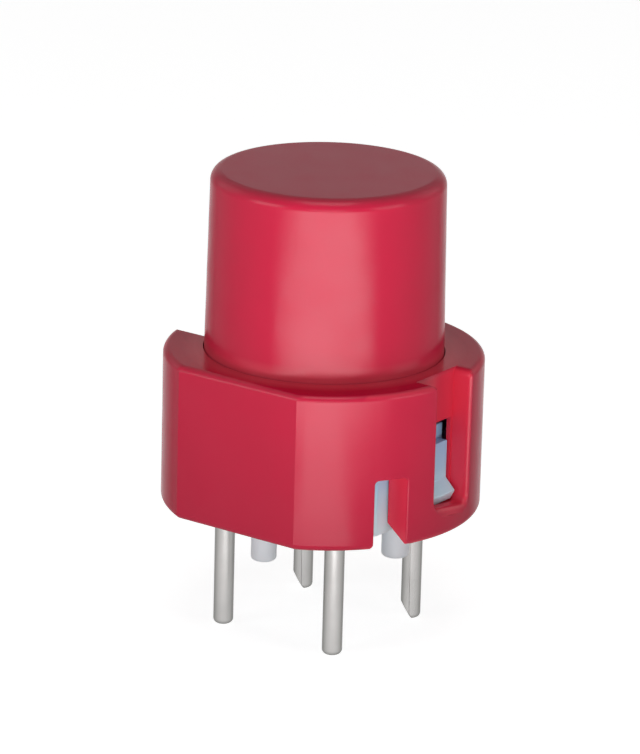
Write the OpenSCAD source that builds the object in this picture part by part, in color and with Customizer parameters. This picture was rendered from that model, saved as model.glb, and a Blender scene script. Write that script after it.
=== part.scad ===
// Round tactile push button switch. A moulded housing snaps down over a base that carries four
// round terminals. A tapered button slides in the housing and drives a snap disc through a
// coil spring and a small plunger.
// Z = 0 is the board surface under the feet. The button moves along Z, the flat side faces -Y
// and the snap windows face +X and -X. "Left" is -X, "front" is -Y.

/* [Housing] */
// Diameter of the round outer wall
housing_d = 12; // [11.8:0.1:13]
// Height from the skirt's edge to the top face
housing_h = 5.95; // [5.8:0.05:6.6]
// Distance from the axis to the flat side
flat_y = 5.36; // [5.2:0.02:5.6]
// Thickness of the top plate around the button
plate_t = 0.7; // [0.5:0.05:0.9]
// Width across the square cavity
cavity_w = 9.3; // [9.2:0.05:9.5]
// Thickness of the round wall at the cavity's corners
corner_wall = 0.55; // [0.4:0.05:0.7]
// Radius of the outer top edge
top_edge_r = 0.25; // [0.1:0.05:0.4]
// Radius of the outer skirt edge
skirt_edge_r = 0.25; // [0.05:0.05:0.3]
// How far the stop ribs stand in from the front and rear walls
rib_depth = 0.35; // [0.25:0.05:0.4]
// Width of each stop rib
rib_w = 0.8; // [0.5:0.05:1]
// Distance of the stop ribs from the middle of their wall
rib_x = 2.2; // [2:0.05:2.6]

/* [Snap windows] */
// Width of the recess on the right side
right_recess_w = 2.16; // [1.9:0.02:2.5]
// Width of the recess on the left side, which opens into the button's hole
left_recess_w = 3.1; // [2.7:0.05:3.4]
// Thickness of the wall left between a recess and the cavity
snap_wall = 0.4; // [0.3:0.05:0.6]
// Radius of the edges between the recess walls and the top face
recess_edge_r = 0.4; // [0.1:0.05:0.45]
// Height of the catch ledge above the skirt's edge
ledge_h = 0.85; // [0.75:0.05:1.1]
// Height of a window above its ledge
window_h = 3.2; // [2.9:0.05:3.3]
// How much narrower a window is than its recess, on each side
window_inset = 0.08; // [0.04:0.01:0.2]
// Width of the chamfer that leads the barbs in
lead_in_w = 4.6; // [4.6:0.1:5]
// Depth of that chamfer into the wall
lead_in_x = 0.85; // [0.4:0.05:0.85]
// Height of that chamfer
lead_in_h = 0.7; // [0.5:0.05:0.75]

/* [Skirt notch] */
// Distance from the middle of the side to the notch's near wall
notch_y = 2.25; // [2.1:0.05:2.3]
// Width of the notch
notch_w = 1.18; // [1:0.02:1.3]
// Height of the notch above the skirt's edge
notch_h = 2.66; // [2:0.01:2.9]
// Radius of the notch's upper corners
notch_r = 0.15; // [0.1:0.05:0.4]

/* [Base] */
// Height of the feet, board to skirt edge
foot_h = 1.45; // [1:0.05:2]
// Distance of the feet from the axis
foot_pitch_r = 3.5; // [3.3:0.05:3.6]
// Diameter of the front and rear feet
end_foot_d = 0.96; // [0.8:0.02:1.2]
// Diameter of the left and right feet
side_foot_d = 1.04; // [0.9:0.02:1.3]
// Radius of the feet's lower edge
foot_edge_r = 0.15; // [0.05:0.05:0.25]
// How far the base's underside sits inside the skirt
base_inset = 0.31; // [0.1:0.01:0.5]
// Thickness of the base's floor
floor_t = 1.24; // [1.1:0.02:1.5]
// Thickness of the tray wall round the floor
tray_wall = 0.7; // [0.5:0.05:0.75]
// Height of the tray wall above the base's underside
tray_h = 2.69; // [2.4:0.01:2.9]
// Clearance between the base and the cavity wall
seat_gap = 0.05; // [0.02:0.01:0.08]
// Width of the slit on each side of a snap arm
slit_w = 0.3; // [0.2:0.05:0.5]

/* [Snap barbs] */
// Height of the block on a snap arm that fills the lower part of its window
block_h = 2.25; // [1.6:0.05:2.4]
// How far the block stays behind the recess wall
block_inset = 0.07; // [0.04:0.01:0.12]
// How far a barb stands out from its block
barb_reach = 0.42; // [0.3:0.02:0.6]
// Height of the ramp on a barb
barb_ramp_h = 0.42; // [0.3:0.02:0.6]
// Height of a barb's tip, which slants back to the flat catching face
barb_tip_h = 0.38; // [0.2:0.02:0.5]
// How far the tip slants back
barb_slant = 0.2; // [0.1:0.02:0.26]
// Clearance between a barb and each wall of its recess
barb_side_gap = 0.13; // [0.08:0.01:0.3]
// Clearance between a barb and its ledge
barb_gap = 0.05; // [0.02:0.01:0.1]

/* [Button] */
// Diameter of the button where it enters the housing
button_d = 8.95; // [8.8:0.05:9.05]
// Height of the button above the housing
button_h = 6.85; // [6.5:0.05:8]
// Draft of the button's side, in degrees
button_draft = 1; // [0.5:0.1:2]
// Radius of the button's top edge
button_edge_r = 0.45; // [0.2:0.05:0.8]
// Wall thickness of the hollow button
button_wall = 1.1; // [0.8:0.05:1.3]
// Clearance round the button in the top plate
button_gap = 0.07; // [0.05:0.01:0.12]
// Thickness of the flange that keeps the button in
flange_t = 0.6; // [0.4:0.05:0.8]
// Clearance between the flange and the walls that guide it
slide_gap = 0.1; // [0.05:0.01:0.12]
// Clearance between stop faces where they meet
stop_gap = 0.02; // [0.01:0.01:0.05]
// How far the button can be pressed
travel = 0.9; // [0.6:0.05:1]
// Diameter of the tube inside the button
boss_d = 4.4; // [4:0.1:5]
// Thickness of the webs that join the tube to the button's wall
web_t = 0.7; // [0.4:0.1:1]
// Height of those webs
web_h = 3.5; // [2:0.1:4]

/* [Plunger and spring] */
// Diameter of the plunger's shank
shank_d = 3; // [2.8:0.05:3.2]
// Clearance between the shank and the tube it slides in
shank_gap = 0.05; // [0.02:0.01:0.1]
// Length of the shank inside the tube at rest
shank_engage = 1.35; // [1:0.05:1.8]
// Diameter of the plunger's collar
collar_d = 3.8; // [3.6:0.1:4.6]
// Thickness of the plunger's collar
collar_t = 0.5; // [0.3:0.05:0.6]
// Diameter of the nose that presses the disc
nose_d = 1.4; // [1:0.1:2]
// Height of the nose
nose_h = 0.8; // [0.6:0.05:1]
// Diameter of the spigot inside the spring
spigot_d = 1.5; // [1.2:0.05:1.6]
// Height of the spigot
spigot_h = 0.8; // [0.5:0.05:1.2]
// Length of the spring between its seats, button at rest
spring_l = 4; // [3.6:0.1:4.2]
// Mean diameter of the spring's coils
spring_d = 2.3; // [2.2:0.05:2.4]
// Diameter of the spring wire
wire_d = 0.28; // [0.2:0.02:0.34]
// Number of open coils
open_coils = 4; // [3:1:5]

/* [Snap disc and contacts] */
// Radius of the snap disc
disc_r = 2.6; // [2.4:0.05:2.7]
// Height of the disc's dome
disc_rise = 0.45; // [0.35:0.01:0.6]
// Thickness of the disc
disc_t = 0.1; // [0.06:0.01:0.15]
// Clearance between the disc and the nose above it
nose_gap = 0.03; // [0.01:0.01:0.1]
// Thickness of the contact plates
contact_t = 0.2; // [0.15:0.01:0.3]
// Width of the ring that carries the disc's rim
ring_w = 0.6; // [0.4:0.05:0.8]
// Width of the links, strip and bars of the contact plates
strip_w = 0.7; // [0.5:0.05:0.8]
// Radius of the contact pad under the disc's middle
pad_r = 0.8; // [0.6:0.05:1]
// Radius of the stud raised on that pad
stud_r = 0.5; // [0.3:0.05:0.6]
// How far the disc's middle travels before it meets the stud
snap_travel = 0.3; // [0.2:0.01:0.32]
// Height of base material between the two contact plates
plate_step = 0.1; // [0.05:0.01:0.15]
// Distance between the ring and the bar that joins the right terminals
bar_gap = 0.38; // [0.3:0.02:0.42]
// Clearance round the contact plates and the disc
contact_gap = 0.08; // [0.04:0.01:0.12]
// Radius of the nibs that centre the disc
nib_r = 0.3; // [0.2:0.05:0.35]
// Height of those nibs
nib_h = 0.45; // [0.3:0.05:0.7]

/* [Terminals] */
// Distance between neighbouring terminals
terminal_pitch = 5.08; // [5:0.02:5.16]
// Diameter of a terminal
terminal_d = 0.76; // [0.6:0.02:0.9]
// Diameter of its neck, which passes through the base and a contact plate
neck_d = 0.44; // [0.36:0.02:0.5]
// Length of a terminal below the board surface
terminal_l = 3.4; // [2.5:0.1:4.5]
// Diameter of a terminal's staked head
head_d = 1.24; // [1.1:0.02:1.4]
// Thickness of the staked head
head_t = 0.25; // [0.15:0.05:0.4]
// Radius of the rounded terminal ends
tip_r = 0.2; // [0.1:0.02:0.28]
// Height of the cut on the bevelled terminal ends
bevel_h = 0.67; // [0.4:0.01:0.9]
// Width of that cut across the terminal
bevel_w = 0.43; // [0.3:0.01:0.5]
// Turn of that cut from the left side towards the front, in degrees
bevel_turn = 35; // [0:5:90]
// Clearance round a terminal's neck in the base and the plates
terminal_gap = 0.02; // [0.01:0.01:0.05]

/* [Hidden] */
$fn = 96;

RED = "#c62f48";
BLUE = "#b4c8d8";
NATURAL = "#ecebe4";
STEEL = "#b9bcc0";
CONTACT = "#c9b27c";
TINNED = "#c4c3c0";

// How far a cutter runs past the face that it opens
through = 1;
// How far joined shapes run into each other
overlap = 0.2;

// Housing
housing_r = housing_d / 2;
skirt_z = foot_h;
housing_top = skirt_z + housing_h;
plate_z = housing_top - plate_t;
cavity_x = cavity_w / 2;
cavity_r = housing_r - corner_wall;
recess_x = cavity_x + snap_wall;
ledge_z = skirt_z + ledge_h;
hole_r = button_d / 2 + button_gap;
rib_y = cavity_x - rib_depth;

// Base
base_z = skirt_z + base_inset;
floor_z = base_z + floor_t;
tray_top = base_z + tray_h;
base_x = cavity_x - seat_gap;
pocket_inset = seat_gap + tray_wall;

// Contacts
ring_r = disc_r + contact_gap / 2;
rim_z = floor_z + contact_t;
strip_z = floor_z - plate_step - contact_t;
bar_x = ring_r + bar_gap + strip_w / 2;
nib_angles = [60, 120, 240, 300];
// Directions from the axis to the two left terminals
link_angles = [135, 225];

// Button
button_r = button_d / 2;
button_top = housing_top + button_h;
flange_top = plate_z - stop_gap;
flange_z = flange_top - flange_t;
boss_z = flange_top;
arm_top = flange_z - travel - stop_gap;

// Plunger and spring
nose_z = rim_z + disc_rise + disc_t + nose_gap;
collar_z = nose_z + nose_h;
spring_z = boss_z + shank_engage;
spring_top = spring_z + spring_l;

// Terminals
terminal_xy = terminal_pitch / 2;
terminal_r = terminal_d / 2;
neck_hole_r = neck_d / 2 + terminal_gap;

// Shared shapes

// Rectangle from the origin, with its two far corners rounded
module edge_profile(reach, height, low_r, high_r) {
    translate([0, low_r]) square([reach, height - low_r - high_r]);
    square([reach - low_r, height - high_r]);
    translate([0, low_r]) square([reach - high_r, height - low_r]);
    translate([reach - low_r, low_r]) circle(r = low_r);
    translate([reach - high_r, height - high_r]) circle(r = high_r);
}

// Upright rod from low_z to high_z, rounded at its lower end
module rounded_rod(r, low_z, high_z, end_r) {
    rotate_extrude() {
        translate([0, low_z + end_r]) square([r, high_z - low_z - end_r]);
        translate([0, low_z]) square([r - end_r, end_r]);
        translate([r - end_r, low_z + end_r]) intersection() {
            circle(r = end_r);
            translate([0, -end_r]) square(end_r);
        }
    }
}

// Extrudes an outline drawn in Y and Z from x0 to x1
module along_x(x0, x1) {
    translate([x0, 0, 0]) rotate([90, 0, 90]) linear_extrude(height = x1 - x0) children();
}

// Extrudes an outline drawn in X and Z over a width centred on Y = 0
module across_y(width) {
    rotate([90, 0, 0]) linear_extrude(height = width, center = true) children();
}

// The rounded square that the cavity, the base and the tray's pocket share
module cavity_outline(inset) {
    intersection() {
        square(2 * (cavity_x - inset), center = true);
        circle(r = cavity_r - inset);
    }
}

// Housing

// Round wall with a flat in front. Both have the same edge radii.
module housing_body() {
    translate([0, 0, skirt_z]) intersection() {
        rotate_extrude() edge_profile(housing_r, housing_h, skirt_edge_r, top_edge_r);
        rotate([90, 0, -90]) linear_extrude(height = housing_d + 2 * through, center = true) union() {
            edge_profile(flat_y, housing_h, skirt_edge_r, top_edge_r);
            translate([-housing_r - through, 0]) square([housing_r + through, housing_h]);
        }
    }
}

// Recess with upright walls, rounded over at the top face
module recess_outline(width) {
    half_w = width / 2;
    translate([-half_w, ledge_z]) square([width, housing_top - ledge_z + through]);
    for (side = [0, 1]) mirror([side, 0]) difference() {
        translate([half_w - recess_edge_r, housing_top - recess_edge_r])
            square([2 * recess_edge_r, recess_edge_r + through]);
        translate([half_w + recess_edge_r, housing_top - recess_edge_r]) circle(r = recess_edge_r);
    }
}

// Opening through the wall behind a recess, where the barb shows
module window_outline(width) {
    window_w = width - 2 * window_inset;
    translate([-window_w / 2, ledge_z]) square([window_w, window_h]);
}

// One side's recess and window, facing +X
module snap_window(width) {
    along_x(recess_x, housing_r + through) recess_outline(width);
    along_x(cavity_x - through, recess_x + through) window_outline(width);
}

// Chamfer inside the skirt that bends the snap arms in at assembly
module lead_in() {
    across_y(lead_in_w) polygon([
        [cavity_x - through, skirt_z - through],
        [cavity_x + lead_in_x, skirt_z - through],
        [cavity_x + lead_in_x, skirt_z],
        [cavity_x, skirt_z + lead_in_h],
        [cavity_x - through, skirt_z + lead_in_h]
    ]);
}

// Opening in the skirt with rounded upper corners
module notch_outline() {
    bottom = skirt_z - through;
    height = notch_h + through;
    translate([-notch_y - notch_w, bottom]) {
        square([notch_w, height - notch_r]);
        translate([notch_r, 0]) square([notch_w - 2 * notch_r, height]);
        for (y = [notch_r, notch_w - notch_r]) translate([y, height - notch_r]) circle(r = notch_r);
    }
}

// Ribs on the front and rear walls, which hold the base down and guide the flange
module stop_ribs() {
    rib_z = tray_top + stop_gap;
    for (x = [-rib_x, rib_x]) for (side = [0, 1]) mirror([0, side, 0])
        translate([x - rib_w / 2, rib_y, rib_z]) cube([rib_w, rib_depth + overlap, plate_z - rib_z]);
}

module housing() {
    color(RED) difference() {
        union() {
            difference() {
                housing_body();
                translate([0, 0, skirt_z - through])
                    linear_extrude(height = plate_z - skirt_z + through) cavity_outline(0);
            }
            stop_ribs();
        }
        translate([0, 0, plate_z - through]) cylinder(r = hole_r, h = plate_t + 2 * through);
        snap_window(right_recess_w);
        mirror([1, 0, 0]) snap_window(left_recess_w);
        // The left recess runs on through the top plate into the button's hole
        intersection() {
            along_x(-recess_x - through, 0) recess_outline(left_recess_w);
            translate([-housing_d, -housing_r, plate_z]) cube([housing_d, housing_d, plate_t + through]);
        }
        for (side = [0, 1]) mirror([side, 0, 0]) lead_in();
        along_x(cavity_x - through, housing_r + through) notch_outline();
    }
}

// Base

// Outline in X and Z of the block in a window and the barb on it: a ramp above, a tip that slants
// back and a flat catching face
module barb_outline() {
    barb_z = ledge_z + barb_gap;
    tip_z = barb_z + barb_tip_h;
    block_x = recess_x - block_inset;
    polygon([
        [base_x - tray_wall / 2, barb_z],
        [block_x + barb_reach - barb_slant, barb_z],
        [block_x + barb_reach, tip_z],
        [block_x, tip_z + barb_ramp_h],
        [block_x, barb_z + block_h],
        [base_x - tray_wall / 2, barb_z + block_h]
    ]);
}

// Upper end of one snap arm, which stops the button's flange, with its block and barb, facing +X
module snap_arm(barb_w) {
    across_y(barb_w) barb_outline();
    translate([base_x - tray_wall, -barb_w / 2, tray_top - tray_wall])
        cube([tray_wall, barb_w, arm_top - tray_top + tray_wall]);
}

// Slits that free a snap arm from the tray wall
module arm_slits(barb_w) {
    for (side = [0, 1]) mirror([0, side, 0])
        translate([base_x - tray_wall - overlap, barb_w / 2, floor_z])
            cube([tray_wall + 2 * through, slit_w, tray_top - floor_z + through]);
}

module feet() {
    foot_top = base_z + overlap;
    for (side = [-1, 1]) {
        translate([0, side * foot_pitch_r, 0]) rounded_rod(end_foot_d / 2, 0, foot_top, foot_edge_r);
        translate([side * foot_pitch_r, 0, 0]) rounded_rod(side_foot_d / 2, 0, foot_top, foot_edge_r);
    }
}

// Nibs round the snap disc, clear of the ring contact and of its links to the terminals
module disc_nibs() {
    nib_pitch_r = disc_r + contact_gap + nib_r;
    for (turn = nib_angles) rotate([0, 0, turn])
        translate([nib_pitch_r, 0, floor_z - overlap]) cylinder(r = nib_r, h = nib_h + overlap);
}

module base() {
    right_barb_w = right_recess_w - 2 * barb_side_gap;
    left_barb_w = left_recess_w - 2 * barb_side_gap;
    color(BLUE) difference() {
        union() {
            difference() {
                translate([0, 0, base_z]) linear_extrude(height = tray_h) cavity_outline(seat_gap);
                translate([0, 0, floor_z]) linear_extrude(height = tray_h) cavity_outline(pocket_inset);
                arm_slits(right_barb_w);
                mirror([1, 0, 0]) arm_slits(left_barb_w);
            }
            snap_arm(right_barb_w);
            mirror([1, 0, 0]) snap_arm(left_barb_w);
            feet();
            disc_nibs();
        }
        translate([0, 0, strip_z]) linear_extrude(height = contact_t + plate_step + overlap)
            centre_outline(contact_gap);
        for (x = [-terminal_xy, terminal_xy]) for (y = [-terminal_xy, terminal_xy])
            translate([x, y, base_z - through]) cylinder(r = neck_hole_r, h = floor_t + 2 * through);
    }
}

// Button

// Tapered skin whose top edge is an arc tangent to the side and to the top face
module button_skin() {
    edge_z = button_top - button_edge_r;
    side_x = button_r - (edge_z - housing_top) * tan(button_draft);
    edge_x = side_x - button_edge_r / cos(button_draft);
    rotate_extrude() {
        polygon([
            [0, flange_z],
            [button_r + (housing_top - flange_z) * tan(button_draft), flange_z],
            [edge_x + button_edge_r * cos(button_draft), edge_z + button_edge_r * sin(button_draft)],
            [edge_x, button_top],
            [0, button_top]
        ]);
        translate([edge_x, edge_z]) circle(r = button_edge_r);
    }
}

// Flange under the top plate: its corners keep the button in and stop it turning
module button_flange() {
    translate([0, 0, flange_z]) linear_extrude(height = flange_t) intersection() {
        square([2 * (cavity_x - slide_gap), 2 * (rib_y - slide_gap)], center = true);
        circle(r = cavity_r - slide_gap);
    }
}

// Tube for the spring and the plunger's shank, joined to the wall by webs
module button_boss(hollow_r, ceiling_z) {
    translate([0, 0, boss_z]) cylinder(d = boss_d, h = ceiling_z - boss_z + overlap);
    for (turn = [0 : 90 : 270]) rotate([0, 0, turn])
        translate([0, -web_t / 2, ceiling_z - web_h]) cube([hollow_r + overlap, web_t, web_h + overlap]);
}

module button() {
    hollow_r = button_r - button_wall;
    ceiling_z = button_top - button_wall;
    color(RED) difference() {
        union() {
            difference() {
                union() {
                    button_skin();
                    button_flange();
                }
                translate([0, 0, flange_z - through])
                    cylinder(r = hollow_r, h = ceiling_z - flange_z + through);
            }
            button_boss(hollow_r, ceiling_z);
        }
        translate([0, 0, boss_z - through])
            cylinder(r = shank_d / 2 + shank_gap, h = spring_top - boss_z + through);
    }
}

// Plunger and spring

module plunger() {
    collar_top = collar_z + collar_t;
    color(NATURAL) rotate_extrude() polygon([
        [0, nose_z],
        [nose_d / 2, nose_z],
        [nose_d / 2, collar_z],
        [collar_d / 2, collar_z],
        [collar_d / 2, collar_top],
        [shank_d / 2, collar_top],
        [shank_d / 2, spring_z],
        [spigot_d / 2, spring_z],
        [spigot_d / 2, spring_z + spigot_h],
        [0, spring_z + spigot_h]
    ]);
}

// Height of the wire's middle after a number of turns: one closed coil at each end
function coil_z(turns, closed_pitch, open_pitch) =
    closed_pitch * (min(turns, 1) + max(turns - 1 - open_coils, 0))
    + open_pitch * min(max(turns - 1, 0), open_coils);

module drive_spring() {
    steps_per_turn = 24;
    sides = 10;
    closed_pitch = wire_d + stop_gap;
    open_pitch = (spring_l - 2 * stop_gap - wire_d - 2 * closed_pitch) / open_coils;
    steps = (open_coils + 2) * steps_per_turn;
    first_z = spring_z + stop_gap + wire_d / 2;
    points = [
        for (step = [0 : steps]) for (side = [0 : sides - 1])
            let (
                turn = 360 * step / steps_per_turn,
                around = 360 * side / sides,
                r = spring_d / 2 + wire_d / 2 * cos(around),
                z = first_z + coil_z(step / steps_per_turn, closed_pitch, open_pitch)
            )
            [r * cos(turn), r * sin(turn), z + wire_d / 2 * sin(around)]
    ];
    tube = [
        for (step = [0 : steps - 1]) for (side = [0 : sides - 1])
            let (next = (side + 1) % sides)
            [step * sides + side, (step + 1) * sides + side, (step + 1) * sides + next, step * sides + next]
    ];
    start_cap = [for (side = [0 : sides - 1]) side];
    end_cap = [for (side = [sides - 1 : -1 : 0]) steps * sides + side];
    color(STEEL) polyhedron(points = points, faces = concat(tube, [start_cap, end_cap]));
}

// Snap disc and contacts

// Shallow dome whose rim rests on the ring contact
module snap_disc() {
    dome_r = (disc_r * disc_r + disc_rise * disc_rise) / (2 * disc_rise);
    color(STEEL) intersection() {
        translate([0, 0, rim_z + disc_rise - dome_r]) difference() {
            sphere(r = dome_r + disc_t);
            sphere(r = dome_r);
        }
        translate([0, 0, rim_z]) cylinder(r = disc_r, h = disc_rise + disc_t + through);
    }
}

// Plate under the disc's rim, joined to the two left terminals and open over the strip
module ring_contact() {
    link_l = terminal_xy * sqrt(2) - disc_r + ring_w / 2;
    color(CONTACT) translate([0, 0, floor_z]) linear_extrude(height = contact_t) difference() {
        union() {
            difference() {
                circle(r = ring_r);
                circle(r = ring_r - ring_w);
                translate([0, -strip_w / 2 - contact_gap])
                    square([ring_r + through, strip_w + 2 * contact_gap]);
            }
            for (turn = link_angles) rotate(turn) {
                translate([disc_r - ring_w / 2, -strip_w / 2]) square([link_l, strip_w]);
                translate([terminal_xy * sqrt(2), 0]) circle(d = head_d);
            }
        }
        for (y = [-terminal_xy, terminal_xy]) translate([-terminal_xy, y]) circle(r = neck_hole_r);
    }
}

// Outline of the plate under the disc's middle, grown by a clearance for its groove
module centre_outline(grow) {
    strip = strip_w / 2 + grow;
    circle(r = pad_r + grow);
    translate([0, -strip]) square([bar_x, 2 * strip]);
    translate([bar_x - strip, -terminal_xy - strip]) square([2 * strip, 2 * (terminal_xy + strip)]);
    for (y = [-terminal_xy, terminal_xy]) translate([terminal_xy, y]) {
        circle(d = head_d + 2 * grow);
        translate([0, -strip]) square([bar_x - terminal_xy, 2 * strip]);
    }
}

// Plate that lies in a groove of the floor, joined to the two right terminals
module centre_contact() {
    stud_h = plate_step + contact_t + disc_rise - snap_travel;
    color(CONTACT) difference() {
        union() {
            translate([0, 0, strip_z]) linear_extrude(height = contact_t) centre_outline(0);
            translate([0, 0, strip_z + contact_t / 2]) cylinder(r = stud_r, h = contact_t / 2 + stud_h);
        }
        for (y = [-terminal_xy, terminal_xy]) translate([terminal_xy, y, strip_z - through])
            cylinder(r = neck_hole_r, h = contact_t + 2 * through);
    }
}

// Terminals

// Round wire whose shoulder bears on the base's underside and whose staked head holds the contact plate
module terminal_wire(seat_z, end_r) {
    translate([0, 0, seat_z]) cylinder(d = head_d, h = head_t);
    translate([0, 0, base_z]) cylinder(d = neck_d, h = seat_z - base_z);
    rounded_rod(terminal_r, -terminal_l, base_z, end_r);
}

// Front terminals end in a rounded rim
module rounded_terminal(side, seat_z) {
    color(TINNED) translate([side * terminal_xy, -terminal_xy, 0]) terminal_wire(seat_z, tip_r);
}

// Rear terminals are cut off at a slant
module bevelled_terminal(side, seat_z) {
    slope = bevel_h / bevel_w;
    color(TINNED) translate([side * terminal_xy, terminal_xy, 0]) difference() {
        terminal_wire(seat_z, tip_r);
        rotate([0, 0, bevel_turn]) across_y(terminal_d + through) polygon([
            [-terminal_r - through, -terminal_l + bevel_h + through * slope],
            [-terminal_r + bevel_w + through / slope, -terminal_l - through],
            [-terminal_r - through, -terminal_l - through]
        ]);
    }
}

module terminal_front_left() {
    rounded_terminal(-1, rim_z);
}

module terminal_front_right() {
    rounded_terminal(1, strip_z + contact_t);
}

module terminal_rear_left() {
    bevelled_terminal(-1, rim_z);
}

module terminal_rear_right() {
    bevelled_terminal(1, strip_z + contact_t);
}

housing();
base();
button();
plunger();
drive_spring();
snap_disc();
ring_contact();
centre_contact();
terminal_front_left();
terminal_front_right();
terminal_rear_left();
terminal_rear_right();
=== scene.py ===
import math

import bmesh
import bpy
from mathutils import Matrix, Vector


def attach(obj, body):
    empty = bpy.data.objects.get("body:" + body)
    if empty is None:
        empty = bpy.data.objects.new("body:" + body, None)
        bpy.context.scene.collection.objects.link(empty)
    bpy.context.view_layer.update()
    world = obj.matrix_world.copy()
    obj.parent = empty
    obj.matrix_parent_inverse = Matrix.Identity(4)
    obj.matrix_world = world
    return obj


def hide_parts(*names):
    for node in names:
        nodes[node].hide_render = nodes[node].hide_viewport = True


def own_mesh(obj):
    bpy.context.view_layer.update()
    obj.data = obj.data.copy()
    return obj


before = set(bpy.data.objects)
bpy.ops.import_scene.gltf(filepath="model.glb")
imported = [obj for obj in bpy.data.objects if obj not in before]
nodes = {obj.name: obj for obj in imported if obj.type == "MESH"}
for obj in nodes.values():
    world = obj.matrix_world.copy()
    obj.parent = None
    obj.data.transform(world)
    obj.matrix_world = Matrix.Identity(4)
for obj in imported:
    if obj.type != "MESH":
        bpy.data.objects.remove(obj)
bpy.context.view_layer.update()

# Every size below is in millimetres, in the row frame: Z = 0 is the board surface, the flat side
# faces -Y and the narrow recess faces +X. Meshes are made in millimetres, because booleans and
# bevels need numbers near 1, and are brought to metres at the end. In the names, R is a radius, W a
# width, H a height above a start, T a thickness, and X, Y and Z a place.
MM = 0.001

# Housing. Its radius is a hair less than 6, so that it stays inside the faceted CAD mesh.
HOUSING_R = 5.996
SKIRT_Z = 1.45
TOP_Z = 7.4
PLATE_Z = 6.7
FLAT_Y = 5.36
TOP_EDGE_R = 0.25
SKIRT_EDGE_R = 0.25
CAVITY_X = 4.65
CAVITY_R = 5.45
HOLE_R = 4.515
RECESS_X = 5.05
RIGHT_RECESS_W = 2.16
LEFT_RECESS_W = 3.1
FLARE_R = 0.3
# The rounded rim of a recess: its depth, how far it spreads to the sides and below, its lower
# corners, and how far the ledge rises outwards. The right recess stands a little off the middle.
RECESS_EDGE_R = 0.22
RECESS_SIDE_GROW = 0.12
RECESS_LOW_GROW = 0.3
RECESS_CORNER_R = 0.35
LEDGE_RISE = 0.15
RIGHT_SHIFT = 0.08
LEDGE_Z = 2.3
WINDOW_H = 3.2
WINDOW_INSET = 0.08
# The relief is a shallow pocket behind the top of a window
RELIEF_H = 1.2
RELIEF_W = 0.6
RELIEF_SKIN = 0.2
LEAD_IN_HALF_W = 2.3
LEAD_IN_X = 0.85
LEAD_IN_H = 0.7
NOTCH_NEAR_Y = -2.25
NOTCH_W = 1.18
NOTCH_TOP = 4.11
NOTCH_R = 0.15
RIB_Y = 4.3
RIB_X = 2.2
RIB_W = 0.8

# Base
BASE_Z = 1.76
FLOOR_Z = 3.0
TRAY_TOP = 4.45
TRAY_WALL = 0.7
SEAT_GAP = 0.05
BASE_X = CAVITY_X - SEAT_GAP
SLIT_W = 0.3
BARB_SIDE_GAP = 0.13
BARB_Z = 2.35
BLOCK_X = 4.98
BLOCK_TOP = 4.6
BARB_REACH = 0.42
BARB_TIP_H = 0.38
BARB_RAMP_H = 0.42
BARB_SLANT = 0.2
ARM_TOP = 5.16
ARM_HEAD = 0.2
FOOT_PITCH_R = 3.5
END_FOOT_R = 0.48
SIDE_FOOT_R = 0.52
FOOT_EDGE_R = 0.15
NIB_PITCH_R = 2.98
NIB_R = 0.3
NIB_TOP = 3.45
GROOVE_Z = 2.7
GROOVE_GAP = 0.08
BAR_X = 3.37
STRIP_W = 0.7
PAD_R = 0.8
HEAD_R = 0.62
NECK_R = 0.22
NECK_HOLE_R = 0.24

# Button
BUTTON_R = 4.475
BUTTON_TOP = 14.25
DRAFT = math.radians(1)
BUTTON_EDGE_R = 0.45
HOLLOW_R = 3.375
CEILING_Z = 13.15
FLANGE_Z = 6.08
FLANGE_TOP = 6.68
FLANGE_X = 4.55
FLANGE_Y = 4.2
FLANGE_R = 5.35
BOSS_R = 2.2
BORE_R = 1.55
BORE_TOP = 12.03
WEB_T = 0.7
WEB_H = 3.5

# Spring and disc
SPRING_Z = 8.03
SPRING_L = 4.0
SPRING_R = 1.15
WIRE_R = 0.14
OPEN_COILS = 4
STOP_GAP = 0.02
DISC_R = 2.6
DISC_RISE = 0.45
DISC_T = 0.1
RIM_Z = 3.2

# Terminals
TERMINAL_XY = 2.54
TERMINAL_R = 0.38
TERMINAL_END = -3.4
TIP_R = 0.2
BEVEL_H = 0.67
BEVEL_W = 0.43
BEVEL_TURN = 35
HEAD_T = 0.25
LEFT_SEAT_Z = 3.2
RIGHT_SEAT_Z = 2.9

# How shapes are made: steps of a large round, how far a cutter reaches past a surface and a joined
# shape sinks into the other, the angle kept free beside a cut, what counts as touching, and edges
ROUND = 256
PAST = 1.0
SINK = 0.2
CLEAR = 0.9
TOUCH = 0.001
EDGE_R = 0.045
FINE_EDGE_R = 0.03
SMOOTH_ANGLE = math.radians(25)
EDGE_ANGLE = math.radians(40)

# Materials: noise scales in waves a metre, bump heights in metres, and the fading of the painted light in the
# hollows, in mm
CLOUD_SCALE = 260
PATCH_SCALE = 900
STREAK_SCALE = 3000
GRAIN_SCALE = 16000
GRAIN_H = 0.000004
STREAK_H = 0.000003
FADE = 0.1
# Painted light and painted reflection round the foot of the button: the radius where it is full, its fading
# outwards, and its height above the top face where it ends
PAINTED_GAP_LIGHT_R = 4.825
PAINTED_GAP_LIGHT_FADE = 0.5
PAINTED_GAP_LIGHT_H = 0.6


# Mesh tools

def new_object(name, verts, faces):
    mesh = bpy.data.meshes.new(name)
    mesh.from_pydata(verts, [], faces)
    mesh.update()
    obj = bpy.data.objects.new(name, mesh)
    bpy.context.scene.collection.objects.link(obj)
    work = bmesh.new()
    work.from_mesh(mesh)
    bmesh.ops.recalc_face_normals(work, faces=work.faces)
    work.to_mesh(mesh)
    work.free()
    return obj


def arc(cx, cy, r, start, end, steps):
    """Points of an arc from one angle to another, in degrees."""
    return [
        (cx + r * math.cos(math.radians(start + (end - start) * i / steps)),
         cy + r * math.sin(math.radians(start + (end - start) * i / steps)))
        for i in range(steps + 1)
    ]


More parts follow.
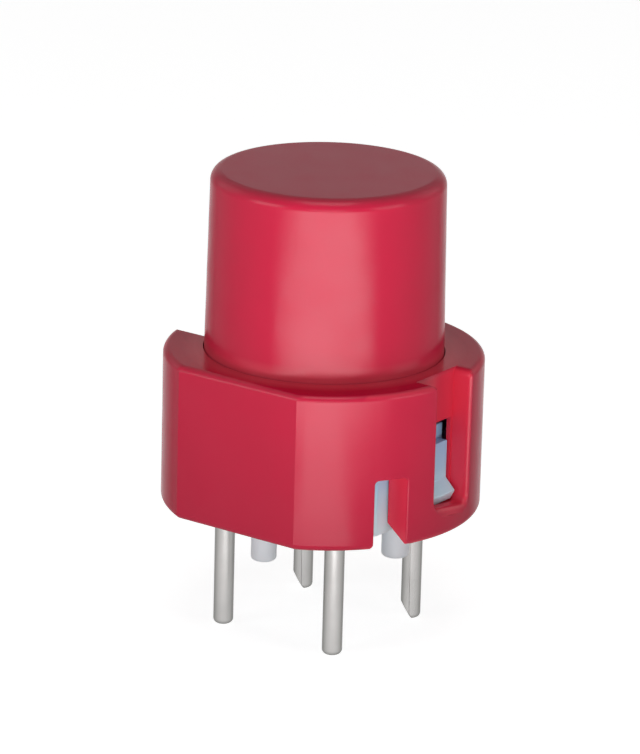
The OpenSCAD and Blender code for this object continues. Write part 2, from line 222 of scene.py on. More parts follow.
def lathe(name, profile, segments=ROUND, at=(0, 0), clear=()):
    """Turns a closed outline of radius and height about an upright axis. Radius 0 makes a pole.
    No edge runs up the wall in the clear sectors, in degrees, where a cut will leave its own."""
    turns = [360 * (i + 0.5) / segments for i in range(segments)]
    turns = [t for t in turns if not any((t - low) % 360 < high - low for low, high in clear)]
    count = len(turns)
    verts, faces, rings = [], [], []
    for r, z in profile:
        if r < 1e-9:
            rings.append((None, z))
            continue
        rings.append((range(len(verts), len(verts) + count), z))
        for turn in turns:
            verts.append((at[0] + r * math.cos(math.radians(turn)),
                          at[1] + r * math.sin(math.radians(turn)), z))
    for (low, low_z), (high, high_z) in zip(rings, rings[1:] + rings[:1]):
        if low and high:
            faces += [(low[i], low[(i + 1) % count], high[(i + 1) % count], high[i]) for i in range(count)]
        elif low or high:
            ring, pole_z = (low, high_z) if low else (high, low_z)
            if low_z == high_z:
                faces.append(tuple(ring))
            else:
                verts.append((at[0], at[1], pole_z))
                faces += [(ring[i], ring[(i + 1) % count], len(verts) - 1) for i in range(count)]
    return new_object(name, verts, faces)


def prism(name, outline, low, high, axis="Z"):
    """Extrudes an outline. Along Z it is drawn in X and Y, along X in Y and Z, along Y in X and Z."""
    def place(a, b, h):
        return {"Z": (a, b, h), "X": (h, a, b), "Y": (a, h, b)}[axis]
    n = len(outline)
    verts = [place(a, b, low) for a, b in outline] + [place(a, b, high) for a, b in outline]
    faces = [tuple(range(n)), tuple(range(2 * n - 1, n - 1, -1))]
    faces += [(i, (i + 1) % n, n + (i + 1) % n, n + i) for i in range(n)]
    return new_object(name, verts, faces)


def block(name, x0, x1, y0, y1, z0, z1):
    return prism(name, [(x0, y0), (x1, y0), (x1, y1), (x0, y1)], z0, z1)


def rod(name, r, z0, z1, at=(0, 0), segments=96, clear=()):
    return lathe(name, [(0, z0), (r, z0), (r, z1), (0, z1)], segments, at, clear)


def evaluate(obj):
    """Puts the result of the object's modifiers in its mesh."""
    graph = bpy.context.evaluated_depsgraph_get()
    mesh = bpy.data.meshes.new_from_object(obj.evaluated_get(graph))
    old = obj.data
    obj.modifiers.clear()
    obj.data = mesh
    bpy.data.meshes.remove(old)


def combine(obj, operation, *others):
    """Exact booleans with each of the other objects in turn, which are used up."""
    for other in others:
        mod = obj.modifiers.new("combine", "BOOLEAN")
        mod.operation = operation
        mod.solver = "EXACT"
        mod.object = other
        evaluate(obj)
        mesh = other.data
        bpy.data.objects.remove(other)
        bpy.data.meshes.remove(mesh)
    return obj


def clean(obj, near=0.004):
    """Joins points that a boolean left closer than a hair, and drops edges without a face."""
    work = bmesh.new()
    work.from_mesh(obj.data)
    bmesh.ops.remove_doubles(work, verts=work.verts, dist=near)
    bmesh.ops.dissolve_degenerate(work, dist=near, edges=work.edges)
    bmesh.ops.delete(work, geom=[edge for edge in work.edges if not edge.link_faces], context="EDGES")
    work.to_mesh(obj.data)
    work.free()


def soften(obj, width, segments=4, angle=EDGE_ANGLE, sharp=None):
    """Rounds the outer edges as a mould leaves them. Inner corners and edges at sharp points stay."""
    work = bmesh.new()
    work.from_mesh(obj.data)
    weight = work.edges.layers.float.new("bevel_weight_edge")
    for edge in work.edges:
        stays = sharp is not None and all(sharp(v.co) for v in edge.verts)
        if edge.is_manifold and edge.is_convex and edge.calc_face_angle() > angle and not stays:
            edge[weight] = 1.0
    work.to_mesh(obj.data)
    work.free()
    mod = obj.modifiers.new("soften", "BEVEL")
    mod.width = width
    mod.segments = segments
    mod.limit_method = "WEIGHT"
    mod.use_clamp_overlap = False
    mod.harden_normals = False
    evaluate(obj)


def shade(obj):
    mesh = obj.data
    mesh.polygons.foreach_set("use_smooth", [True] * len(mesh.polygons))
    mesh.set_sharp_from_angle(angle=SMOOTH_ANGLE)
    mod = obj.modifiers.new("weighted", "WEIGHTED_NORMAL")
    mod.keep_sharp = True
    evaluate(obj)


def piece(obj, name, material, slot, body, *replaced):
    """Brings a finished mesh to metres and ties it to its material, its body and the nodes it stands for. The
    slot is not used.
    """
    shade(obj)
    obj.name = name
    obj.data.name = name
    obj.data.transform(Matrix.Scale(MM, 4))
    obj.data.materials.clear()
    obj.data.materials.append(material)
    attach(obj, body)
    if replaced:
        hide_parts(*replaced)
    return obj


# Materials

def make_material(name):
    material = bpy.data.materials.new(name)
    material.use_nodes = True
    return material, material.node_tree.nodes, material.node_tree.links


def noise(nodes_, links, coordinates, scale, detail=3, stretch=None):
    tex = nodes_.new("ShaderNodeTexNoise")
    tex.inputs["Scale"].default_value = scale
    tex.inputs["Detail"].default_value = detail
    if stretch:
        mapping = nodes_.new("ShaderNodeMapping")
        mapping.inputs["Scale"].default_value = stretch
        links.new(coordinates, mapping.inputs["Vector"])
        links.new(mapping.outputs["Vector"], tex.inputs["Vector"])
    else:
        links.new(coordinates, tex.inputs["Vector"])
    return tex.outputs["Fac"]


def spread(nodes_, links, value, low, high, from_low=0.3, from_high=0.7):
    """Maps a noise value to a range."""
    node = nodes_.new("ShaderNodeMapRange")
    node.inputs["From Min"].default_value = from_low
    node.inputs["From Max"].default_value = from_high
    node.inputs["To Min"].default_value = low
    node.inputs["To Max"].default_value = high
    links.new(value, node.inputs["Value"])
    return node.outputs["Result"]


def blend_colours(nodes_, links, value, first, second):
    """Mixes two colours, each of them a plain colour or the output of a node."""
    node = nodes_.new("ShaderNodeMix")
    node.data_type = "RGBA"
    for number, colour in ((6, first), (7, second)):
        if isinstance(colour, tuple):
            node.inputs[number].default_value = (*colour, 1)
        else:
            links.new(colour, node.inputs[number])
    links.new(value, node.inputs["Factor"])
    return node.outputs[2]


def painted_hollow_light(nodes_, links, where, parts, tone, painted_hollow_colours):
    """Painted light: tones with the first hollow colour, a brighter red, inside the recesses and the notch,
    where shade would fall, and with the second one along the gap round the button, a painted light and a
    painted reflection of the red button. Each value has a place where the hollow is full and one where it
    ends."""
    across = nodes_.new("ShaderNodeMath")
    across.operation = "ABSOLUTE"
    links.new(parts.outputs["X"], across.inputs[0])
    level = nodes_.new("ShaderNodeVectorMath")
    level.operation = "MULTIPLY"
    level.inputs[1].default_value = (1, 1, 0)
    links.new(where, level.inputs[0])
    radius = nodes_.new("ShaderNodeVectorMath")
    radius.operation = "LENGTH"
    links.new(level.outputs["Vector"], radius.inputs[0])
    across, radius, height = across.outputs["Value"], radius.outputs["Value"], parts.outputs["Z"]
    recesses = ((across, CAVITY_X, CAVITY_X - FADE), (radius, HOUSING_R - FADE, HOUSING_R),
                (height, TOP_Z - FADE, TOP_Z))
    gap = ((radius, PAINTED_GAP_LIGHT_R, PAINTED_GAP_LIGHT_R + PAINTED_GAP_LIGHT_FADE), (height, TOP_Z + FADE, TOP_Z + PAINTED_GAP_LIGHT_H),
           (height, TOP_Z - FADE, TOP_Z - 2 * FADE))
    for region, inner in zip((recesses, gap), painted_hollow_colours):
        for value, inside, outside in region:
            part = spread(nodes_, links, value, 0, 1, inside * MM, outside * MM)
            inner = blend_colours(nodes_, links, part, inner, tone)
        tone = inner
    return tone


def plastic(name, colour, other, roughness, grain=0.25, specular=0.5, glancing=None, subsurface=0.0,
            painted_light_heights=(), painted_hollow_colours=None):
    """Moulded plastic: faint flow clouds in the colour, a fine eroded mould texture and uneven gloss.
    Each height step tints it by Z to a paler colour lower down: painted light, standing in for light from the
    floor that shines up through a clear moulding. The hollow colours are painted light in slots and gaps:
    brighter tones where shade would fall, in place of light that has passed through the plastic and bounced
    about. Glancing is the specular level at a glancing angle."""
    material, nodes_, links = make_material(name)
    shader = nodes_["Principled BSDF"]
    where = nodes_.new("ShaderNodeTexCoord").outputs["Object"]
    clouds = noise(nodes_, links, where, CLOUD_SCALE, 4)
    tone = blend_colours(nodes_, links, spread(nodes_, links, clouds, 0, 1), colour, other)
    parts = nodes_.new("ShaderNodeSeparateXYZ")
    links.new(where, parts.inputs["Vector"])
    # Painted light: the tone steps to paler colours lower down, for light from the floor shining up through
    # the moulding
    for low, high, painted_glow in painted_light_heights:
        part = spread(nodes_, links, parts.outputs["Z"], 0, 1, low * MM, high * MM)
        tone = blend_colours(nodes_, links, part, painted_glow, tone)
    # Painted light: the hollows get brighter tones where shade would fall
    if painted_hollow_colours:
        tone = painted_hollow_light(nodes_, links, where, parts, tone, painted_hollow_colours)
    links.new(tone, shader.inputs["Base Color"])
    uneven = noise(nodes_, links, where, PATCH_SCALE, 5)
    links.new(spread(nodes_, links, uneven, roughness - 0.04, roughness + 0.04), shader.inputs["Roughness"])
    fine = noise(nodes_, links, where, GRAIN_SCALE, 2)
    bump = nodes_.new("ShaderNodeBump")
    bump.inputs["Strength"].default_value = grain
    bump.inputs["Distance"].default_value = GRAIN_H
    links.new(fine, bump.inputs["Height"])
    links.new(bump.outputs["Normal"], shader.inputs["Normal"])
    shader.inputs["Specular IOR Level"].default_value = specular
    if glancing is not None:
        weight = nodes_.new("ShaderNodeLayerWeight")
        weight.inputs["Blend"].default_value = 0.5
        links.new(spread(nodes_, links, weight.outputs["Facing"], specular, glancing, 0.25, 0.65),
                  shader.inputs["Specular IOR Level"])
    if subsurface:
        shader.inputs["Subsurface Weight"].default_value = subsurface
        shader.inputs["Subsurface Radius"].default_value = (0.8, 0.9, 1.0)
        shader.inputs["Subsurface Scale"].default_value = 0.0004
    return material


def metal(name, colour, other, roughness, stretch, streak=0.3, painted_side_shade=None):
    """Drawn or rolled metal: streaks along one direction in colour, gloss and height."""
    material, nodes_, links = make_material(name)
    shader = nodes_["Principled BSDF"]
    where = nodes_.new("ShaderNodeTexCoord").outputs["Object"]
    streaks = noise(nodes_, links, where, STREAK_SCALE, 4, stretch)
    patches = noise(nodes_, links, where, PATCH_SCALE, 3)
    tone = blend_colours(nodes_, links, spread(nodes_, links, patches, 0, 1), colour, other)
    # Painted shade: the colour darkens towards the side colour where the surface turns away from the view, as
    # on the sides of a round wire
    if painted_side_shade:
        weight = nodes_.new("ShaderNodeLayerWeight")
        weight.inputs["Blend"].default_value = 0.5
        facing = spread(nodes_, links, weight.outputs["Facing"], 0, 1, 0.08, 0.6)
        tone = blend_colours(nodes_, links, facing, tone, painted_side_shade)
    links.new(tone, shader.inputs["Base Color"])
    links.new(spread(nodes_, links, streaks, roughness - 0.06, roughness + 0.08), shader.inputs["Roughness"])
    bump = nodes_.new("ShaderNodeBump")
    bump.inputs["Strength"].default_value = streak
    bump.inputs["Distance"].default_value = STREAK_H
    links.new(streaks, bump.inputs["Height"])
    links.new(bump.outputs["Normal"], shader.inputs["Normal"])
    shader.inputs["Metallic"].default_value = 1.0
    return material


# The two hollow colours are painted light: brighter red in the recesses and the notch, and along the gap
# round the button, where it is also a painted reflection of the red button
red = plastic("red_plastic", (0.55, 0.007, 0.045), (0.52, 0.006, 0.041), 0.22, specular=0.26,
              glancing=0.03, painted_hollow_colours=((0.74, 0.036, 0.075), (0.62, 0.05, 0.085)))
# The blue's height steps are painted light from the floor below, paler towards the feet
blue = plastic("blue_plastic", (0.37, 0.61, 0.88), (0.34, 0.58, 0.85), 0.35, specular=0.3, subsurface=0.1,
               painted_light_heights=((3.3, 4.6, (0.46, 0.78, 0.96)), (2.0, 3.6, (0.74, 0.94, 1.0)),
                        (1.5, 1.9, (0.8, 0.83, 0.87))))
natural = plastic("natural_plastic", (0.82, 0.81, 0.76), (0.78, 0.77, 0.72), 0.35)
steel = metal("spring_steel", (0.5, 0.51, 0.53), (0.42, 0.43, 0.46), 0.26, (1, 1, 1))
contact = metal("contact_metal", (0.62, 0.48, 0.24), (0.55, 0.42, 0.2), 0.3, (1, 0.1, 1))
# The tinned wire's side colour is painted shade along the sides of the round wires
tinned = metal("tinned_wire", (0.52, 0.51, 0.5), (0.47, 0.46, 0.45), 0.3, (1, 1, 0.04),
               painted_side_shade=(0.2, 0.2, 0.19))


# Housing

def rounded_side(reach, low_z, high_z, low_r, high_r):
    """Right side of an outline with its lower and upper corner rounded, from the lower end up."""
    return (arc(reach - low_r, low_z + low_r, low_r, -90, 0, 6)
            + arc(reach - high_r, high_z - high_r, high_r, 0, 90, 8))


def cavity_outline(inset):
    """Square with its corners cut by a circle, which the cavity, the base and the pocket share."""
    half, r = CAVITY_X - inset, CAVITY_R - inset
    start = math.degrees(math.acos(half / r))
    points = []
    for quarter in range(4):
        points += arc(0, 0, r, 90 * quarter + start, 90 * quarter + 90 - start, 16)
    return points


def recess_outline(width, growth=0, rise=0):
    """Recess with rounded lower corners that flares out at the top face. It grows except at its top.
    A rise lifts the near end of its ledge, and less of the rest."""
    half, wide, low = width / 2, RECESS_SIDE_GROW * growth, RECESS_LOW_GROW * growth
    corner = []
    for step in range(9):
        turn = math.pi / 2 * (step / 8 - 1)
        corner.append((half - RECESS_CORNER_R + (RECESS_CORNER_R + wide) * math.cos(turn),
                       LEDGE_Z + RECESS_CORNER_R + (RECESS_CORNER_R + low) * math.sin(turn)))
    flare = [(half + FLARE_R + (FLARE_R - wide) * (y - half - FLARE_R) / FLARE_R, z)
             for y, z in arc(half + FLARE_R, TOP_Z - FLARE_R, FLARE_R, 180, 90, 8)]
    right = corner + flare + [(half + FLARE_R, TOP_Z + PAST)]
    outline = right + [(-y, z) for y, z in reversed(right)]
    return [(y, z + rise * (1 - y / half) if z < LEDGE_Z + half else z) for y, z in outline]


def recess_cutter(side, width):
    """Cutter that leaves a rounded edge where the recess meets the round wall."""
    shift = RIGHT_SHIFT if side > 0 else 0
    layers = [[(x, y, z) for y, z in recess_outline(width, rise=rise)] for x, rise in (
        (RECESS_X, 0), (BLOCK_X + BARB_REACH - BARB_SLANT, 0), (BLOCK_X + BARB_REACH, LEDGE_RISE))]
    steps = 5
    for step in range(steps + 1):
        turn = math.pi / 2 * step / steps
        r = HOUSING_R - RECESS_EDGE_R * (1 - math.sin(turn))
        outline = recess_outline(width, 1 - math.cos(turn), LEDGE_RISE)
        layers.append([(math.sqrt(r * r - (y + shift) ** 2), y, z) for y, z in outline])
    layers.append([(HOUSING_R + PAST, y, z) for y, z in recess_outline(width, 1, LEDGE_RISE)])
    n = len(layers[0])
    verts = [(side * x, side * y + shift, z) for layer in layers for x, y, z in layer]
    faces = [tuple(range(n)), tuple(range(len(verts) - 1, len(verts) - n - 1, -1))]
    for first in range(0, len(verts) - n, n):
        for i in range(n):
            a, b = first + i, first + (i + 1) % n
            faces += [(a, b, b + n), (a, b + n, a + n)]
    return new_object("recess", verts, faces)


def notch_outline():
    near, far = NOTCH_NEAR_Y, NOTCH_NEAR_Y - NOTCH_W
    return ([(far, SKIRT_Z - PAST), (near, SKIRT_Z - PAST)]
            + arc(near - NOTCH_R, NOTCH_TOP - NOTCH_R, NOTCH_R, 0, 90, 6)
            + arc(far + NOTCH_R, NOTCH_TOP - NOTCH_R, NOTCH_R, 90, 180, 6))


def ordered(a, b):
    return (a, b) if a < b else (b, a)


def sector(r, low_y, high_y, side=1):
    """Sector, in degrees, of the wall at a radius between two Y values on the right or left side."""
    low, high = (math.degrees(math.asin(y / r)) for y in (low_y, high_y))
    return (low - CLEAR, high + CLEAR) if side > 0 else (180 - high - CLEAR, 180 - low + CLEAR)


def make_housing():
    right_edge, left_edge = RIGHT_RECESS_W / 2 + RECESS_SIDE_GROW, LEFT_RECESS_W / 2 + RECESS_SIDE_GROW
    wall_clear = [sector(HOUSING_R, y, y, side) for y, side in (
        (right_edge + RIGHT_SHIFT, 1), (RIGHT_SHIFT - right_edge, 1), (left_edge, -1), (-left_edge, -1),
        (-FLAT_Y, 1), (-FLAT_Y, -1),
        (NOTCH_NEAR_Y, 1), (NOTCH_NEAR_Y - NOTCH_W, 1))]
    left_half = LEFT_RECESS_W / 2
    hole_clear = [sector(HOLE_R, left_half, left_half, -1), sector(HOLE_R, -left_half, -left_half, -1)]
    wall = rounded_side(HOUSING_R, SKIRT_Z, TOP_Z, SKIRT_EDGE_R, TOP_EDGE_R)
    shell = lathe("shell", [(0, SKIRT_Z)] + wall + [(0, TOP_Z)], clear=wall_clear)
    front = [(-y, z) for y, z in rounded_side(FLAT_Y, SKIRT_Z, TOP_Z, SKIRT_EDGE_R, TOP_EDGE_R)]
    front += [(HOUSING_R + PAST, TOP_Z), (HOUSING_R + PAST, SKIRT_Z)]
    combine(shell, "INTERSECT", prism("front", front, -HOUSING_R - PAST, HOUSING_R + PAST, "X"))
    combine(shell, "DIFFERENCE",
            prism("cavity", cavity_outline(0), SKIRT_Z - PAST, PLATE_Z),
            rod("hole", HOLE_R, PLATE_Z - PAST, TOP_Z + PAST, segments=ROUND, clear=hole_clear))
    for x in (-RIB_X, RIB_X):
        for side in (-1, 1):
            y0, y1 = ordered(side * RIB_Y, side * (CAVITY_X + SINK))
            combine(shell, "UNION",
                    block("rib", x - RIB_W / 2, x + RIB_W / 2, y0, y1,
                          TRAY_TOP + STOP_GAP, PLATE_Z + SINK / 2))
    for side, width in ((1, RIGHT_RECESS_W), (-1, LEFT_RECESS_W)):
        combine(shell, "DIFFERENCE", recess_cutter(side, width))
        x0, x1 = ordered(side * (CAVITY_X - PAST), side * (RECESS_X + RELIEF_SKIN))
        half, shift, top = width / 2 - WINDOW_INSET, RIGHT_SHIFT if side > 0 else 0, LEDGE_Z + WINDOW_H
        combine(shell, "DIFFERENCE", block("window", x0, x1, shift - half, shift + half, LEDGE_Z, top))
        x0, x1 = ordered(side * (CAVITY_X - PAST), side * (RECESS_X - RELIEF_SKIN))
        half += RELIEF_W
        combine(shell, "DIFFERENCE", block("relief", x0, x1, shift - half, shift + half, top - RELIEF_H, top))
        lead_in = [(CAVITY_X - PAST, SKIRT_Z - PAST), (CAVITY_X + LEAD_IN_X, SKIRT_Z - PAST),
                   (CAVITY_X + LEAD_IN_X, SKIRT_Z), (CAVITY_X, SKIRT_Z + LEAD_IN_H),
                   (CAVITY_X - PAST, SKIRT_Z + LEAD_IN_H)]
        combine(shell, "DIFFERENCE",
                prism("lead_in", [(side * x, z) for x, z in lead_in], -LEAD_IN_HALF_W, LEAD_IN_HALF_W, "Y"))
    upper = [(y, z) for y, z in recess_outline(LEFT_RECESS_W) if z > PLATE_Z]
    upper += [(-left_half, PLATE_Z), (left_half, PLATE_Z)]
    combine(shell, "DIFFERENCE",
            prism("opening", upper, -RECESS_X - PAST / 2, -HOLE_R / 2, "X"),
            prism("notch", notch_outline(), CAVITY_X - PAST, HOUSING_R + PAST, "X"))
    clean(shell)
    soften(shell, EDGE_R, sharp=lambda v: abs(abs(v.x) - RECESS_X) < TOUCH or v.xy.length < HOLE_R + TOUCH)
    return shell


# Base

def make_base():
    tray = prism("tray", cavity_outline(SEAT_GAP), BASE_Z, TRAY_TOP)
    combine(tray, "DIFFERENCE",
            prism("pocket", cavity_outline(SEAT_GAP + TRAY_WALL), FLOOR_Z, TRAY_TOP + PAST))
    for side, width in ((1, RIGHT_RECESS_W), (-1, LEFT_RECESS_W)):
        half, shift = width / 2 - BARB_SIDE_GAP, RIGHT_SHIFT if side > 0 else 0
        x0, x1 = ordered(side * (BASE_X - TRAY_WALL - SINK), side * (BASE_X + PAST))
        for end in (-1, 1):
            y0, y1 = ordered(shift + end * half, shift + end * (half + SLIT_W))
            combine(tray, "DIFFERENCE", block("slit", x0, x1, y0, y1, FLOOR_Z, TRAY_TOP + PAST))
        inner, tip_x, tip_z = BASE_X - TRAY_WALL / 2, BLOCK_X + BARB_REACH, BARB_Z + BARB_TIP_H
        barb = [(inner, BARB_Z), (tip_x - BARB_SLANT, BARB_Z), (tip_x, tip_z),
                (BLOCK_X, tip_z + BARB_RAMP_H), (BLOCK_X, BLOCK_TOP), (inner, BLOCK_TOP)]
        x0, x1 = ordered(side * (BASE_X - TRAY_WALL), side * BASE_X)
        combine(tray, "UNION",
                block("arm", x0, x1, shift - half, shift + half, TRAY_TOP - TRAY_WALL, ARM_TOP),
                block("head", x0, x1, shift - half - ARM_HEAD, shift + half + ARM_HEAD,
                      TRAY_TOP + SEAT_GAP, ARM_TOP),
                prism("barb", [(side * x, z) for x, z in barb], shift - half, shift + half, "Y"))
    for at, r in (((0, -FOOT_PITCH_R), END_FOOT_R), ((0, FOOT_PITCH_R), END_FOOT_R),
                  ((-FOOT_PITCH_R, 0), SIDE_FOOT_R), ((FOOT_PITCH_R, 0), SIDE_FOOT_R)):
        profile = [(0, 0)] + arc(r - FOOT_EDGE_R, FOOT_EDGE_R, FOOT_EDGE_R, -90, 0, 6)
        profile += [(r, BASE_Z + SINK), (0, BASE_Z + SINK)]
        combine(tray, "UNION", lathe("foot", profile, 64, at))
    for turn in (60, 120, 240, 300):
        at = (NIB_PITCH_R * math.cos(math.radians(turn)), NIB_PITCH_R * math.sin(math.radians(turn)))
        combine(tray, "UNION", rod("nib", NIB_R, FLOOR_Z - SINK, NIB_TOP, at, 48))
    strip, xy, top = STRIP_W / 2 + GROOVE_GAP, TERMINAL_XY, FLOOR_Z + SINK
    combine(tray, "DIFFERENCE",
            rod("pad", PAD_R + GROOVE_GAP, GROOVE_Z, top, segments=64),
            block("strip", 0, BAR_X, -strip, strip, GROOVE_Z, top),
            block("bar", BAR_X - strip, BAR_X + strip, -xy - strip, xy + strip, GROOVE_Z, top))
    for y in (-xy, xy):
        combine(tray, "DIFFERENCE",
                rod("head", HEAD_R + GROOVE_GAP, GROOVE_Z, top, (xy, y), 48),
                block("link", xy, BAR_X, y - strip, y + strip, GROOVE_Z, top))
        for x in (-xy, xy):
            combine(tray, "DIFFERENCE", rod("bore", NECK_HOLE_R, BASE_Z - PAST, top, (x, y), 48))
    clean(tray)
    soften(tray, EDGE_R)
    return tray


# Button

def make_button():
    edge_z = BUTTON_TOP - BUTTON_EDGE_R
    side_x = BUTTON_R - (edge_z - TOP_Z) * math.tan(DRAFT)
    edge_x = side_x - BUTTON_EDGE_R / math.cos(DRAFT)
    low_r = BUTTON_R + (TOP_Z - FLANGE_Z) * math.tan(DRAFT)
    profile = ([(HOLLOW_R, FLANGE_Z), (low_r, FLANGE_Z)]
               + arc(edge_x, edge_z, BUTTON_EDGE_R, math.degrees(DRAFT), 90, 14)
               + [(0, BUTTON_TOP), (0, CEILING_Z), (HOLLOW_R, CEILING_Z)])
    skin = lathe("skin", profile)
    corner = math.degrees(math.acos(FLANGE_X / FLANGE_R))
    end = math.degrees(math.asin(FLANGE_Y / FLANGE_R))
    outline = []
    for sx, sy in ((1, 1), (-1, 1), (-1, -1), (1, -1)):
        points = [(sx * x, sy * y) for x, y in arc(0, 0, FLANGE_R, corner, end, 8)]
        outline += points if sx * sy > 0 else points[::-1]
    flange = prism("flange", outline, FLANGE_Z, FLANGE_TOP)
    combine(flange, "DIFFERENCE", rod("hollow", HOLLOW_R, FLANGE_Z - PAST, FLANGE_TOP + PAST, segments=ROUND))
    boss = [(BORE_R, FLANGE_TOP), (BOSS_R, FLANGE_TOP), (BOSS_R, CEILING_Z + SINK), (0, CEILING_Z + SINK),
            (0, BORE_TOP), (BORE_R, BORE_TOP)]
    combine(skin, "UNION", flange, lathe("boss", boss, 96))
    half, inner, outer, low = WEB_T / 2, (BORE_R + BOSS_R) / 2, HOLLOW_R + SINK, CEILING_Z - WEB_H
    for sign in (-1, 1):
        x0, x1 = ordered(sign * inner, sign * outer)
        combine(skin, "UNION",
                block("web", x0, x1, -half, half, low, CEILING_Z + SINK),
                block("web", -half, half, x0, x1, low, CEILING_Z + SINK))
    clean(skin)
    soften(skin, EDGE_R)
    return skin


# Spring, disc and terminals

def make_spring():
    """A round wire wound on four open coils with one closed coil at each end."""
    steps_per_turn, sides = 60, 14
    closed = 2 * WIRE_R + STOP_GAP
    open_pitch = (SPRING_L - 2 * STOP_GAP - 2 * WIRE_R - 2 * closed) / OPEN_COILS
    steps = (OPEN_COILS + 2) * steps_per_turn
    verts, faces = [], []
    for step in range(steps + 1):
        turns = step / steps_per_turn
        z = (closed * (min(turns, 1) + max(turns - 1 - OPEN_COILS, 0))
             + open_pitch * min(max(turns - 1, 0), OPEN_COILS))
        z += SPRING_Z + STOP_GAP + WIRE_R
        turn = 2 * math.pi * turns
        for side in range(sides):
            around = 2 * math.pi * side / sides
            r = SPRING_R + WIRE_R * math.cos(around)
            verts.append((r * math.cos(turn), r * math.sin(turn), z + WIRE_R * math.sin(around)))
    for step in range(steps):
        for side in range(sides):
            a, b = step * sides + side, step * sides + (side + 1) % sides
            faces.append((a, a + sides, b + sides, b))
    faces += [tuple(range(sides)), tuple(range((steps + 1) * sides - 1, steps * sides - 1, -1))]
    coil = new_object("coil", verts, faces)
    soften(coil, FINE_EDGE_R, 2, math.radians(60))
    return coil


def make_disc():
    """A shallow dome whose rim rests on the ring contact."""
    dome_r = (DISC_R ** 2 + DISC_RISE ** 2) / (2 * DISC_RISE)
    centre = RIM_Z + DISC_RISE - dome_r
    def height(r, radius):
        return centre + math.sqrt(radius ** 2 - r ** 2)
    steps = 24
    under = [(DISC_R * i / steps, height(DISC_R * i / steps, dome_r)) for i in range(steps + 1)]
    over = [(DISC_R * i / steps, height(DISC_R * i / steps, dome_r + DISC_T)) for i in range(steps, -1, -1)]
    return lathe("dome", under + over, 160)


def terminal_profile(seat_z, end_r):
    return ([(0, TERMINAL_END)]
            + arc(TERMINAL_R - end_r, TERMINAL_END + end_r, end_r, -90, 0, 8)
            + [(TERMINAL_R, BASE_Z), (NECK_R, BASE_Z), (NECK_R, seat_z), (HEAD_R, seat_z),
               (HEAD_R, seat_z + HEAD_T), (0, seat_z + HEAD_T)])


def make_terminal(x, y, seat_z):
    """All four wires end in a rounded rim. The rear ones are cut at a slant too."""
    wire = lathe("wire", terminal_profile(seat_z, TIP_R), 64, (x, y))
    if y > 0:
        slope = BEVEL_H / BEVEL_W
        cut = prism("cut", [(-TERMINAL_R - PAST, TERMINAL_END + BEVEL_H + PAST * slope),
                            (-TERMINAL_R - PAST, TERMINAL_END - PAST),
                            (-TERMINAL_R + BEVEL_W + PAST / slope, TERMINAL_END - PAST)], -PAST, PAST, "Y")
        cut.data.transform(Matrix.Translation((x, y, 0)) @ Matrix.Rotation(math.radians(BEVEL_TURN), 4, "Z"))
        combine(wire, "DIFFERENCE", cut)
    clean(wire, 0.002)
    soften(wire, FINE_EDGE_R, 3)
    return wire


piece(make_housing(), "housing_shell", red, "red_plastic", "case", "housing")
piece(make_base(), "base_moulding", blue, "blue_plastic", "case", "base")
piece(make_button(), "button_cap", red, "red_plastic", "button", "button")
for end_name, y in (("front", -TERMINAL_XY), ("rear", TERMINAL_XY)):
    for side_name, x, seat in (("left", -TERMINAL_XY, LEFT_SEAT_Z), ("right", TERMINAL_XY, RIGHT_SEAT_Z)):
        piece(make_terminal(x, y, seat), f"wire_{end_name}_{side_name}", tinned, "tinned_wire", "case",
              f"terminal_{end_name}_{side_name}")
spring = piece(make_spring(), "coil_spring", steel, "spring_steel", "plunger", "drive_spring")
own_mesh(spring)
disc = piece(make_disc(), "dome_disc", steel, "spring_steel", "case", "snap_disc")
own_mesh(disc)

# The plunger and the two contact plates keep their CAD meshes
for name, material in (("plunger", natural), ("ring_contact", contact), ("centre_contact", contact)):
    mesh = nodes[name].data
    mesh.materials.clear()
    mesh.materials.append(material)
    rounding = nodes[name].modifiers.new("rounding", "BEVEL")
    rounding.width = FINE_EDGE_R * MM
    rounding.segments = 2
    rounding.limit_method = "ANGLE"
    rounding.angle_limit = EDGE_ANGLE


# Floor

def seen_background(nodes_, links):
    """1 for rays from the camera, and for those that a glossy or clear surface sends on."""
    path = nodes_.new("ShaderNodeLightPath")
    total = path.outputs["Is Camera Ray"]
    for name in ("Is Glossy Ray", "Is Transmission Ray"):
        either = nodes_.new("ShaderNodeMath")
        either.operation = "MAXIMUM"
        links.new(total, either.inputs[0])
        links.new(path.outputs[name], either.inputs[1])
        total = either.outputs["Value"]
    return total


def make_floor():
    half = 400
    floor = new_object("floor", [(-half, -half, TERMINAL_END), (half, -half, TERMINAL_END),
                                 (half, half, TERMINAL_END), (-half, half, TERMINAL_END)], [(0, 1, 2, 3)])
    floor.data.transform(Matrix.Scale(MM, 4))
    material, nodes_, links = make_material("floor")
    shader = nodes_["Principled BSDF"]
    shader.inputs["Base Color"].default_value = (0.6, 0.6, 0.6, 1)
    shader.inputs["Roughness"].default_value = 0.8
    shader.inputs["Specular IOR Level"].default_value = 0.1
    glow = nodes_.new("ShaderNodeEmission")
    links.new(seen_background(nodes_, links), glow.inputs["Strength"])
    glow.inputs["Color"].default_value = (0.84, 0.84, 0.84, 1)
    both = nodes_.new("ShaderNodeAddShader")
    links.new(shader.outputs["BSDF"], both.inputs[0])
    links.new(glow.outputs["Emission"], both.inputs[1])
    links.new(both.outputs["Shader"], nodes_["Material Output"].inputs["Surface"])
    floor.data.materials.append(material)


make_floor()


# Camera at the photograph's angle

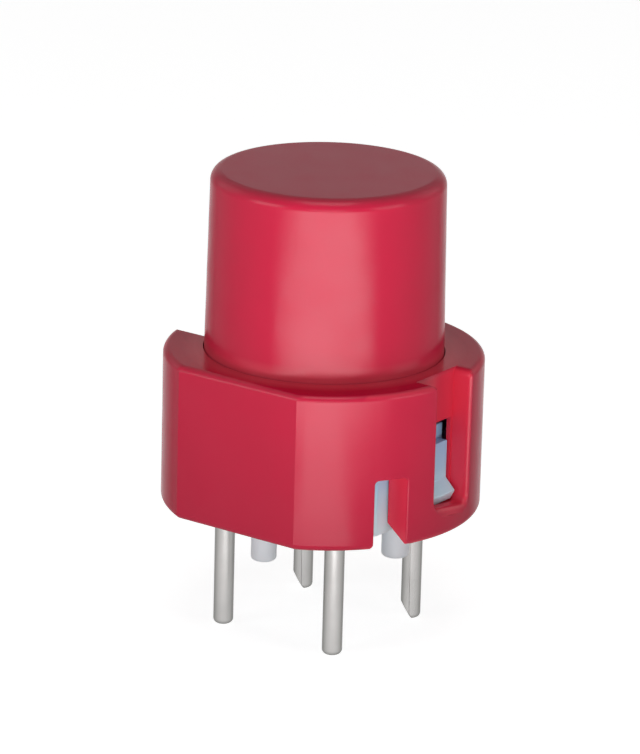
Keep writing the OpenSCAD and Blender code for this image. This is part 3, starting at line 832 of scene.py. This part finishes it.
AZIMUTH = math.radians(35.660)
ELEVATION = math.radians(17.733)
ROLL = math.radians(1.5265)
DISTANCE = 170.756
LENS = 218.59
AIM_ACROSS = -0.1281
AIM_Z = 6.2357
back = Vector((math.sin(AZIMUTH) * math.cos(ELEVATION), -math.cos(AZIMUTH) * math.cos(ELEVATION),
               math.sin(ELEVATION)))
right = Vector((math.cos(AZIMUTH), math.sin(AZIMUTH), 0))
up = back.cross(right)
aim = right * AIM_ACROSS + Vector((0, 0, AIM_Z))
camera_data = bpy.data.cameras.new("camera")
camera_data.lens = LENS
camera_data.sensor_width = 36
camera_data.sensor_fit = "AUTO"
camera_data.clip_start = 0.005
camera_data.clip_end = 10
camera = bpy.data.objects.new("camera", camera_data)
bpy.context.scene.collection.objects.link(camera)
across = right * math.cos(ROLL) + up * math.sin(ROLL)
upward = up * math.cos(ROLL) - right * math.sin(ROLL)
camera.matrix_world = Matrix((
    (across.x, upward.x, back.x, (aim + back * DISTANCE).x * MM),
    (across.y, upward.y, back.y, (aim + back * DISTANCE).y * MM),
    (across.z, upward.z, back.z, (aim + back * DISTANCE).z * MM),
    (0, 0, 0, 1)))
bpy.context.scene.camera = camera


# Light

def softbox(name, azimuth, elevation, distance, width, height, power, lying=False):
    """An area light aimed at the middle of the part. Azimuth is from the front, -Y, towards +X.
    A lying one is a lit table top: it stands for the bright sheet in front of the part."""
    a, e = math.radians(azimuth), math.radians(elevation)
    away = Vector((math.sin(a) * math.cos(e), -math.cos(a) * math.cos(e), math.sin(e)))
    data = bpy.data.lights.new(name, "AREA")
    data.shape = "RECTANGLE"
    data.size = width * MM
    data.size_y = height * MM
    data.energy = power
    lamp = bpy.data.objects.new(name, data)
    bpy.context.scene.collection.objects.link(lamp)
    if lying:
        lamp.location = (away * distance + Vector((0, 0, TERMINAL_END + 0.1))) * MM
        lamp.rotation_euler = (math.pi, 0, a)
    else:
        lamp.location = (Vector((0, 0, 6)) + away * distance) * MM
        lamp.rotation_euler = away.to_track_quat("Z", "Y").to_euler()
    lamp.visible_camera = False


softbox("key", 36, 8, 200, 130, 50, 0.055)
softbox("table", 36, 0, 69, 78, 70, 0.103, lying=True)
softbox("table_near", 36, 0, 26, 14, 16, 0.0022, lying=True)
softbox("top", 36, 72, 200, 110, 110, 0.081)
softbox("left", -24, 12, 200, 110, 80, 0.075)
softbox("right", 96, 12, 200, 110, 80, 0.055)
softbox("back_left", -84, 25, 200, 110, 110, 0.02)
softbox("back_right", 156, 25, 200, 110, 110, 0.02)

world = bpy.data.worlds.new("world")
world.use_nodes = True
bpy.context.scene.world = world
sky, sky_links = world.node_tree.nodes, world.node_tree.links
sky["Background"].inputs["Color"].default_value = (0.03, 0.03, 0.03, 1)
white = sky.new("ShaderNodeBackground")
white.inputs["Color"].default_value = (1, 1, 1, 1)
sky_mix = sky.new("ShaderNodeMixShader")
sky_links.new(seen_background(sky, sky_links), sky_mix.inputs["Fac"])
sky_links.new(sky["Background"].outputs["Background"], sky_mix.inputs[1])
sky_links.new(white.outputs["Background"], sky_mix.inputs[2])
sky_links.new(sky_mix.outputs["Shader"], sky["World Output"].inputs["Surface"])

bpy.context.scene.view_settings.view_transform = "Standard"
